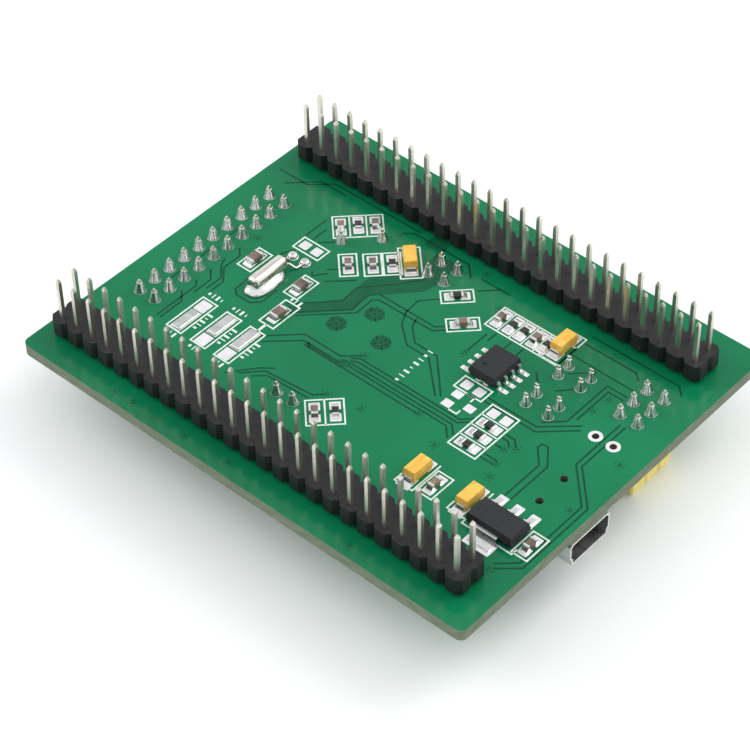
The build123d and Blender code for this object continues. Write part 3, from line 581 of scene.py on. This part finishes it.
def make_watch_pool():
    """The mound of solder in which the small crystal can lies."""
    mound = bmesh.new()
    rings = []
    for i in range(POOL_LEVELS):
        climb = math.radians(14 * i)
        level = (0.02 + POOL_HEIGHT * math.sin(climb)) * MM
        shrink = math.cos(climb) ** 1.1
        ring = []
        for k in range(POOL_SIDES):
            a = 2 * math.pi * k / POOL_SIDES
            ripple = 1 + 0.03 * math.sin(3 * a + 1) + 0.02 * math.sin(5 * a)
            rounded_x = math.copysign(abs(math.cos(a)) ** 0.8, math.cos(a))
            rounded_y = math.copysign(abs(math.sin(a)) ** 0.7, math.sin(a))
            across = POOL_HALF_WIDTH * shrink * ripple * rounded_x
            lengthwise = POOL_HALF_LENGTH * (0.25 + 0.75 * shrink) * ripple * rounded_y
            x, y = along(*POOL_PLACE, POOL_TURN, lengthwise, -across)
            ring.append(mound.verts.new((FIRST_X + x * MM, FIRST_Y + y * MM, FACE + level)))
        rings.append(ring)
    skin(mound, rings)
    mound.faces.new(list(reversed(rings[0])))
    mound.faces.new(rings[-1])
    bmesh.ops.recalc_face_normals(mound, faces=mound.faces)
    for face in mound.faces:
        face.smooth = True
    finish_piece("watch_crystal_pool", mound, "solder")


def marks(layer, x, y, count, upright=False, height=0.8, gap=0.66):
    """A short row of plain bars and squares, where a real board carries print."""
    for i in range(count):
        step = (i - (count - 1) / 2) * gap
        tall = height if i % 3 else height * 0.55
        wide = 0.14 if i % 2 else 0.3
        if upright:
            layer.box(x, y + step, tall, wide)
        else:
            layer.box(x + step, y, wide, tall)


def make_silkscreen():
    """White outlines of the upper face. All wording is replaced by plain bars."""
    ink = Layer("upper_silkscreen", "silkscreen", INK_THICKNESS)
    for x, y, angle in ((8.1, 24.2, 0), (15.8, 24.2, 0), (49.3, 10.0, 0), (63.1, 9.9, 0)):
        ink.frame(x, y, 2.2, 3.9, angle)
    ink.frame(12.0, 30.15, 4.1, 2.2)
    ink.frame(17.05, 19.05, 2.3, 4.7)
    ink.line([(17.05, 16.7), (17.05, 15.2)], 0.35)
    for x in (9.2, 13.2, 17.05):
        ink.frame(x, 12.1, 2.4, 6.3)
    # the parts round the turned controller
    ink.frame(13.6, 37.05, 4.0, 6.3, -45)
    for side in (-1, 1):
        ends = [along(13.6, 37.05, -45, d, side * 1.05) for d in (-2.0, 2.0)]
        ink.line(ends, 0.2)
    for x, y in ((17.45, 30.9), (19.7, 32.9), (21.4, 34.6)):
        ink.frame(x, y, 4.0, 2.2, -45)
    ink.frame(22.95, 36.15, 5.6, 2.7, -45)
    ink.frame(32.25, 10.45, 4.1, 4.5, -45)
    ink.line([along(32.25, 10.45, -45, d) for d in (-2.05, 2.05)], 0.2)
    ink.frame(31.2, 35.3, 4.0, 2.2, 45)
    ink.frame(34.9, 32.0, 4.0, 2.2, 45)
    # the row behind the memory chip
    ink.frame(42.25, 35.65, 10.9, 3.8)
    for x in (38.6, 40.45, 42.2, 44.0):
        ink.line([(x, 33.8), (x, 37.5)], 0.18)
    ink.frame(46.3, 36.7, 2.8, 5.6)
    ink.line([(41.9, 25.95), (42.4, 25.95), (42.55, 26.15), (43.05, 26.15), (43.2, 25.95), (43.7, 25.95)], 0.18)
    # the array and the empty places beside it
    ink.frame(48.1, 20.0, 4.0, 8.0)
    for y in (18.05, 20.05, 22.0):
        ink.line([(46.1, y), (50.1, y)], 0.18)
    ink.frame(42.75, 24.5, 4.1, 2.15)
    ink.line([(43.9, 22.6), (43.9, 23.4), (42.7, 23.4)], 0.2)
    ink.line([(43.9, 20.8), (43.9, 20.1), (42.7, 20.1)], 0.2)
    # tantalums and the regulator
    for x, y in ((46.6, 10.2), (53.8, 10.8)):
        ink.line([(x - 1.3, y - 1.2), (x - 1.3, y - 2.5), (x + 1.3, y - 2.5), (x + 1.3, y + 2.5)], 0.2)
        ink.line([(x - 0.9, y - 2.75), (x + 0.9, y - 2.75)], 0.2)
    ink.line([(55.2, 8.6), (55.2, 7.65), (62.3, 7.65), (62.3, 8.6)], 0.2)
    # plain bars in place of wording
    for x in (9.2, 13.2):
        marks(ink, x, 16.2, 4)
    for x in (9.2, 13.2, 17.05):
        marks(ink, x + 0.1, 8.2, 3, height=0.8)
    for x in (10.95, 14.95, 18.75):
        marks(ink, x, 12.1, 5, upright=True)
    marks(ink, 17.1, 21.9, 3, height=0.8)
    marks(ink, 35.0, 22.9, 8, upright=True, gap=0.86)
    ink.done()


GAP_LINES = [       # the gaps between copper areas, which show dark under the mask
    # from the third solder jumper to the long bus
    [(17.0, 14.0), (21.7, 18.5), (27.4, 18.5), (29.3, 20.2)],
    [(18.6, 14.2), (22.3, 17.6), (28.0, 17.6), (28.6, 18.4)],
    [(22.9, 17.2), (40.4, 17.2)], [(22.9, 17.8), (23.6, 17.2)],
    [(28.4, 19.0), (29.6, 19.7), (44.8, 19.7), (46.2, 21.1)],
    [(28.8, 18.7), (29.8, 19.1), (44.9, 19.1), (45.9, 20.1)],
    [(29.0, 18.4), (44.6, 18.5), (45.8, 17.3)],
    [(29.2, 17.9), (44.2, 17.9), (45.6, 16.5)],
    # round the controller's corner
    [(17.4, 19.7), (23.1, 25.4), (22.9, 28.3), (23.6, 29.5), (32.6, 29.5), (34.2, 31.1)],
    [(16.4, 20.9), (21.2, 25.7), (21.0, 28.2), (21.0, 28.6), (24.4, 32.4), (26.4, 35.2)],
    [(28.3, 29.2), (28.1, 31.6), (29.3, 33.0), (30.4, 34.0)],
    [(28.3, 29.2), (29.3, 27.3), (32.1, 25.0), (35.5, 25.0), (40.2, 20.7)],
    [(30.0, 29.2), (30.5, 27.8), (32.6, 25.9), (36.0, 25.9), (40.7, 21.1)],
    [(18.6, 20.1), (23.9, 25.3), (23.8, 28.2), (24.5, 28.7), (32.8, 28.8), (34.6, 30.6)],
    [(16.0, 28.6), (18.9, 31.4)], [(17.2, 26.8), (20.1, 29.6)],
    # memory chip and jumpers
    [(38.1, 32.6), (38.1, 28.8)], [(38.9, 33.4), (38.9, 31.8)],
    [(41.2, 33.4), (41.2, 32.0)], [(43.0, 33.4), (43.0, 32.0)],
    [(45.0, 23.8), (52.6, 23.8), (56.4, 27.3)],
    [(45.0, 24.5), (52.2, 24.5), (56.1, 28.0)],
    [(59.3, 31.0), (59.3, 22.8), (63.8, 18.1), (63.8, 7.3), (61.6, 5.3)],
    [(60.0, 31.0), (60.0, 23.0), (64.5, 18.3), (64.5, 6.9), (62.1, 4.8)],
    [(54.3, 22.1), (56.2, 20.0), (56.2, 13.9)],
    [(55.2, 22.9), (57.1, 20.4), (57.1, 13.9)],
    [(54.3, 22.1), (54.4, 22.8), (55.2, 22.9)],
    [(50.3, 21.3), (51.6, 21.3), (52.4, 20.5)], [(50.3, 20.6), (51.2, 20.6), (51.9, 19.9)],
    [(50.3, 19.3), (51.3, 19.3)], [(50.3, 17.4), (52.2, 17.4)], [(50.3, 16.7), (52.2, 16.7)],
    [(47.9, 38.9), (55.5, 38.9), (56.6, 38.0)], [(47.9, 36.4), (57.2, 36.3)],
    [(47.9, 40.4), (60.6, 40.4), (61.9, 39.2)],
    [(57.2, 35.0), (54.3, 35.0), (54.3, 27.5), (52.2, 25.4)],
    [(57.2, 34.3), (55.0, 34.3), (55.0, 28.4)],
    [(52.6, 33.0), (50.2, 30.4)], [(49.6, 33.6), (52.0, 36.0)],
    [(46.6, 31.4), (48.2, 29.8)],
    # front header to the pair of parts
    [(20.2, 8.6), (22.4, 10.9), (29.3, 11.6), (30.2, 12.6)],
    [(21.7, 9.2), (23.1, 10.5), (29.3, 10.9)],
    [(18.9, 7.6), (21.6, 10.9), (23.0, 12.0)],
    # debug socket to the solder jumpers
    [(5.2, 24.5), (6.2, 23.5), (6.2, 20.7), (7.9, 18.8), (7.9, 16.6)],
    [(5.2, 22.0), (5.6, 20.9), (7.2, 19.1), (7.2, 16.6)],
    [(5.2, 19.4), (6.5, 18.1), (6.5, 15.2)],
    [(5.2, 16.9), (5.9, 16.2), (5.9, 9.4)],
    [(5.2, 14.4), (6.5, 13.0), (6.5, 9.4)],
    [(2.6, 27.5), (2.6, 25.4)], [(2.6, 22.6), (2.6, 20.3)], [(2.6, 17.4), (2.6, 15.2)],
    [(9.8, 35.4), (9.8, 31.6)], [(11.0, 34.0), (11.0, 31.6)], [(13.4, 33.0), (11.9, 31.6)],
    [(9.8, 20.6), (9.8, 27.2), (10.6, 28.8)],
    [(9.9, 20.4), (9.9, 18.9), (10.7, 18.2), (12.9, 18.2), (13.9, 19.2), (13.9, 22.0)],
    [(14.9, 27.2), (15.4, 26.6), (16.6, 28.2)],
    # along the back header
    [(-1.4, 38.8), (3.4, 38.8), (6.0, 41.2), (20.4, 41.2)],
    [(1.0, 37.2), (4.4, 40.4), (8.6, 40.4)],
    [(18.6, 39.6), (19.8, 40.6), (28.6, 40.6), (30.4, 38.8)],
    [(31.4, 39.6), (36.0, 39.6)], [(32.4, 37.6), (34.4, 39.6)],
    [(24.6, 38.8), (24.6, 41.2)],
]
GAP_AND_SHADE_BANDS = [       # broad areas a little darker than the rest: areas with no copper, and in front of the back header a band of painted shade from its strip
    [(16.2, 20.2), (17.6, 19.6), (23.2, 25.2), (23.0, 28.4), (27.6, 33.4), (28.2, 36.6),
     (27.4, 39.6), (24.4, 39.6), (24.6, 35.6), (20.9, 31.4), (21.0, 26.0)],
    [(22.8, 17.0), (28.3, 17.0), (29.2, 17.6), (29.2, 18.4), (28.2, 18.5), (27.4, 17.8), (22.8, 17.8)],
    # painted shade: the back header strip's shadow on the mask just in front of it
    [(21.9, 39.9), (24.6, 39.9), (24.6, 41.9), (21.9, 41.9)],
]
VIAS = [            # covered holes, each in a ring of small dark spots
    (55.5, 30.7), (63.1, 25.9), (63.1, 16.9), (53.1, 15.0), (45.2, 14.7), (52.6, 20.3), (51.6, 19.3), (52.4, 17.0),
    (29.5, 20.4), (30.4, 12.8), (35.0, 13.6), (40.6, 17.3), (5.6, 27.4), (18.6, 39.2), (11.4, -3.1), (14.3, -2.9),
    (22.6, -2.9), (29.3, -2.6), (48.0, -2.9), (31.4, 40.6), (55.8, 33.4), (36.4, 37.0), (61.8, 4.4), (38.1, 28.4),
]
VIA_STARS = [(23.3, 22.3), (29.5, 23.3), (25.7, 26.5)]      # clusters of covered holes under the controller
GAP_WIDTH = 0.22


def make_copper_relief():
    """Dark gap lines, bands and covered vias under the mask of the upper face; one band is painted shade in front of
    the back header strip.
    """
    # the bands are copper-free areas, plus painted shade before the back header strip
    bands = Layer("upper_gap_and_shade_bands", "copper_relief", BAND_THICKNESS)
    for outline in GAP_AND_SHADE_BANDS:
        bands.prism(outline)
    for x, y in VIA_STARS:
        bands.disc(x, y, 1.25, 24)
    bands.done(look="gap_and_shade_band")
    relief = Layer("upper_copper_relief", "copper_relief", RELIEF_THICKNESS)
    for points in GAP_LINES:
        relief.line(points, GAP_WIDTH)
    for x, y in VIAS:
        relief.ring(x, y, 0.16, 0.27, 12)
        for i in range(6):
            relief.disc(*along(x, y, 60 * i, 0.48 + 0.12 * (i % 2)), 0.09, 6)
    for x, y in VIA_STARS:
        for i in range(14):
            a = 360 / 14 * i + 7 * (i % 3)
            near, far = 0.45 + 0.2 * (i % 3), 1.35 - 0.12 * (i % 4)
            relief.line([along(x, y, a, near), along(x, y, a + 10, far)], 0.13)
            relief.disc(*along(x, y, a + 16, 0.72 + 0.3 * (i % 2)), 0.11, 8)
        relief.disc(x, y, 0.2, 10)
    relief.done()


# ------------------------------------------------------------------ the lower face's layout
CONTROLLER, CONTROLLER_TURN = (27.0, 23.0), 45
TALL_CHIPS_BELOW = [
    (34.2, 30.2, 135), (19.8, 30.2, 225), (19.8, 15.8, 315), (34.2, 15.8, 45),
    (10.6, 12.5, 90), (13.2, 12.5, 90), (54.5, 9.0, 0), (54.5, 12.0, 0),
]
FLAT_CHIPS_BELOW = [(x + 1.6 * i, y, 90) for x, y in ((40.5, 28.5), (46.5, 19.0)) for i in range(4)]
LAMPS_BELOW = [(40.5, 38.8, 90), (44.5, 38.8, 90)]
SWITCH, BUTTON, CRYSTAL, USB_Y = (50.55, 30.6), (38.0, 11.0), (15.7, 35.4), 17.4


def make_lower_pads():
    """Tinned pads on the lower face."""
    pads = Layer("lower_pads", "bare_pad", PAD_THICKNESS, upper=False)
    for x, y, angle in TALL_CHIPS_BELOW + FLAT_CHIPS_BELOW + LAMPS_BELOW:
        chip_pads(pads, x, y, angle)
    for quarter in range(4):
        angle = CONTROLLER_TURN + 90 * quarter
        for i in range(25):
            px, py = along(*CONTROLLER, angle, 7.9, (i - 12) * 0.5)
            pads.box(px, py, 1.2, 0.3, angle)
    for x, y in HEADER_JOINTS:
        pads.ring(x, y, 0.5, 0.82, 12)
    for x, y in SPARE_HOLES:
        pads.ring(x, y, 0.45, 0.88, 32)
    for side in (-1, 1):
        for row in (-2.25, 2.25):
            pads.box(BUTTON[0] + side * 3.75, BUTTON[1] + row, 1.9, 1.3, 0, 0.15)
        for x in (58.4, 63.2):
            pads.box(x, USB_Y + side * 4.1, 2.4, 2.0, 0, 0.15)
    pads.done(bevel=0.02)


def make_lower_silkscreen():
    """White outlines of the lower face, with plain bars for wording."""
    ink = Layer("lower_silkscreen", "silkscreen", INK_THICKNESS, upper=False)
    ink.frame(*CONTROLLER, 17.6, 17.6, CONTROLLER_TURN, 0.2)
    ink.ring(*along(*CONTROLLER, -90, 13.3), 0.25, 0.5)
    ink.frame(2.61, 22.57, 9.5, 33.9)
    ink.frame(*CRYSTAL, 12.0, 5.4, 45)
    ink.frame(*SWITCH, 6.8, 13.8)
    ink.frame(*BUTTON, 7.2, 7.2)
    ink.frame(59.5, 34.79, 5.9, 8.2)
    ink.frame(27.17, 37.37, 5.7, 5.7)
    ink.frame(27.07, 9.2, 5.7, 3.1)
    ink.line([(56.2, USB_Y + 4.6), (56.2, USB_Y - 4.6)], 0.2)
    for x, y, angle in TALL_CHIPS_BELOW + LAMPS_BELOW:
        ink.frame(x, y, 3.9, 2.0, angle)
    for x, y in ((42.9, 28.5), (48.9, 19.0)):
        ink.frame(x, y, 6.7, 3.9)
    for y in (-1.8, 4.3, 40.9, 47.1):
        for i in range(0, 25, 2):
            marks(ink, i * PITCH, y, 3, height=0.9, gap=0.55)
    for x, y in ((50.5, 22.6), (38.0, 16.2), (61.5, 40.6), (42.5, 36.3), (27.2, 33.6), (15.7, 28.6)):
        marks(ink, x, y, 6)
    ink.done()


def make_lower_relief():
    """Dark gap lines under the mask of the lower face, from the controller out to both headers."""
    relief = Layer("lower_copper_relief", "copper_relief", RELIEF_THICKNESS, upper=False)
    for front in (True, False):
        for i in range(13):
            across = (i - 6) * 1.0
            corner_angle = -90 if front else 90
            start = along(*CONTROLLER, corner_angle + (45 if across > 0 else -45), 8.8, 0.8 * across)
            rail_x = CONTROLLER[0] + across * 1.5
            joint_x = round((CONTROLLER[0] + across * 3.2) / PITCH) * PITCH + PITCH / 2
            step = -1 if front else 1
            rail_y = CONTROLLER[1] + step * (14.2 + 0.45 * abs(i - 6))
            end_y = 4.0 if front else 41.4
            turn_y = end_y - step * 1.2
            relief.line([start, (rail_x, rail_y), (joint_x, turn_y), (joint_x, end_y)], 0.2)
    for i in range(5):
        relief.line([(57.0, 15.9 + 0.8 * i), (50.0 - 0.7 * i, 15.9 + 0.8 * i), (38.6, 22.0 + 0.5 * i)], 0.2)
    for i in range(8):
        relief.line([(6.9, 13.7 + 2.3 * i), (9.5 + 0.4 * i, 13.7 + 2.3 * i), (14.8 + 0.3 * i, 19.0 + 1.1 * i)], 0.2)
    for x, y in ((10.0, 41.0), (34.0, 38.0), (36.5, 30.0), (45.0, 12.0), (55.0, 25.5), (62.0, 28.5), (18.0, 8.0)):
        relief.ring(x, y, 0.14, 0.36, 14)
    relief.done()


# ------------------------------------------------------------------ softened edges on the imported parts
SOFT_EDGES = {      # bevel width in millimetres
    "front_header_strip": 0.07, "back_header_strip": 0.07, "jumper_header_strip": 0.07, "small_header_strips": 0.07,
    "front_header_pins": 0.05, "back_header_pins": 0.05, "debug_socket_pins": 0.05, "jumper_header_pins": 0.05,
    "small_header_pins": 0.05, "memory_chip_body": 0.04, "regulator_body": 0.05, "regulator_leads": 0.04,
    "controller_body": 0.05, "debug_socket_shroud": 0.12, "slide_switch_base": 0.05, "slide_switch_knob": 0.1,
    "reset_button_base": 0.06, "reset_button_cover": 0.03, "usb_shell": 0.05, "usb_insulator": 0.05,
    "jumper_cap_1": 0.08, "jumper_cap_2": 0.08, "jumper_cap_3": 0.08, "tantalum_tabs": 0.03, "tantalum_bodies": 0.04,
    "upper_capacitor_bodies": 0.04, "lower_capacitor_bodies": 0.04, "lamp_carriers": 0.03, "lamp_lenses": 0.06,
    "pcb": 0.03,
}


def soften_edges():
    """Small bevels that catch the light."""
    for name, width in SOFT_EDGES.items():
        modifier = NODES[name].modifiers.new("soft_edges", "BEVEL")
        modifier.width, modifier.segments, modifier.limit_method = width * MM, 2, "ANGLE"
        modifier.angle_limit = math.radians(35)


make_materials()
make_camera()
make_stage()
make_pads()
make_watch_pool()
make_silkscreen()
make_copper_relief()
make_lower_pads()
make_lower_silkscreen()
make_lower_relief()
make_fillets()
soften_edges()
